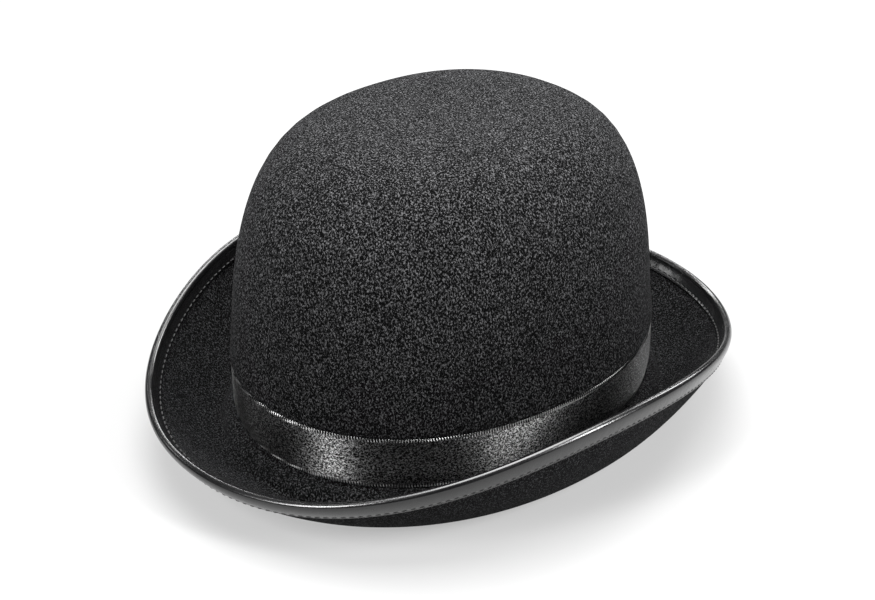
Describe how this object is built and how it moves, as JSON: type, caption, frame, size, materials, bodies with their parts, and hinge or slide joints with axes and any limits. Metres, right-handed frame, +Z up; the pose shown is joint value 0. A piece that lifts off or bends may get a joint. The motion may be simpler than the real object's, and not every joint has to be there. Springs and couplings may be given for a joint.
{
  "type": "bowler hat",
  "caption": "Hard felt hat with a rounded crown, a curled and bound oval brim, a satin ribbon band with a flat bow, and a leather sweatband inside.",
  "frame": {"origin": "centre of the hat's footprint, at the lowest point of the brim's underside", "axes": "+Z up through the crown; -Y towards the front of the hat; +X towards the wearer's left, where the bow is"},
  "size_m": [0.249, 0.2958, 0.15],
  "materials": {
    "felt": "matt felted wool",
    "ribbon": "satin ribbon with woven edges",
    "binding_tape": "smooth satin tape",
    "thread_black": "matt thread",
    "thread_light": "matt thread",
    "leather": "smooth leather",
    "reed": "plain",
    "lining_satin": "satin",
    "piping": "satin cord",
    "tab_cloth": "matt woven tab"
  },
  "bodies": {
    "root": {"felt_hood": "felt", "hat_band": "ribbon", "band_stitching": "thread_black", "band_bow": "ribbon", "bow_knot": "ribbon", "brim_binding": "binding_tape", "binding_stitching": "thread_black", "sweatband": "leather", "sweatband_reed": "reed", "sweatband_stitching": "thread_light", "sweatband_bow": "ribbon", "lining_tip": "lining_satin", "lining_side": "lining_satin", "lining_piping": "piping", "size_tab": "tab_cloth"}
  },
  "joints": []
}
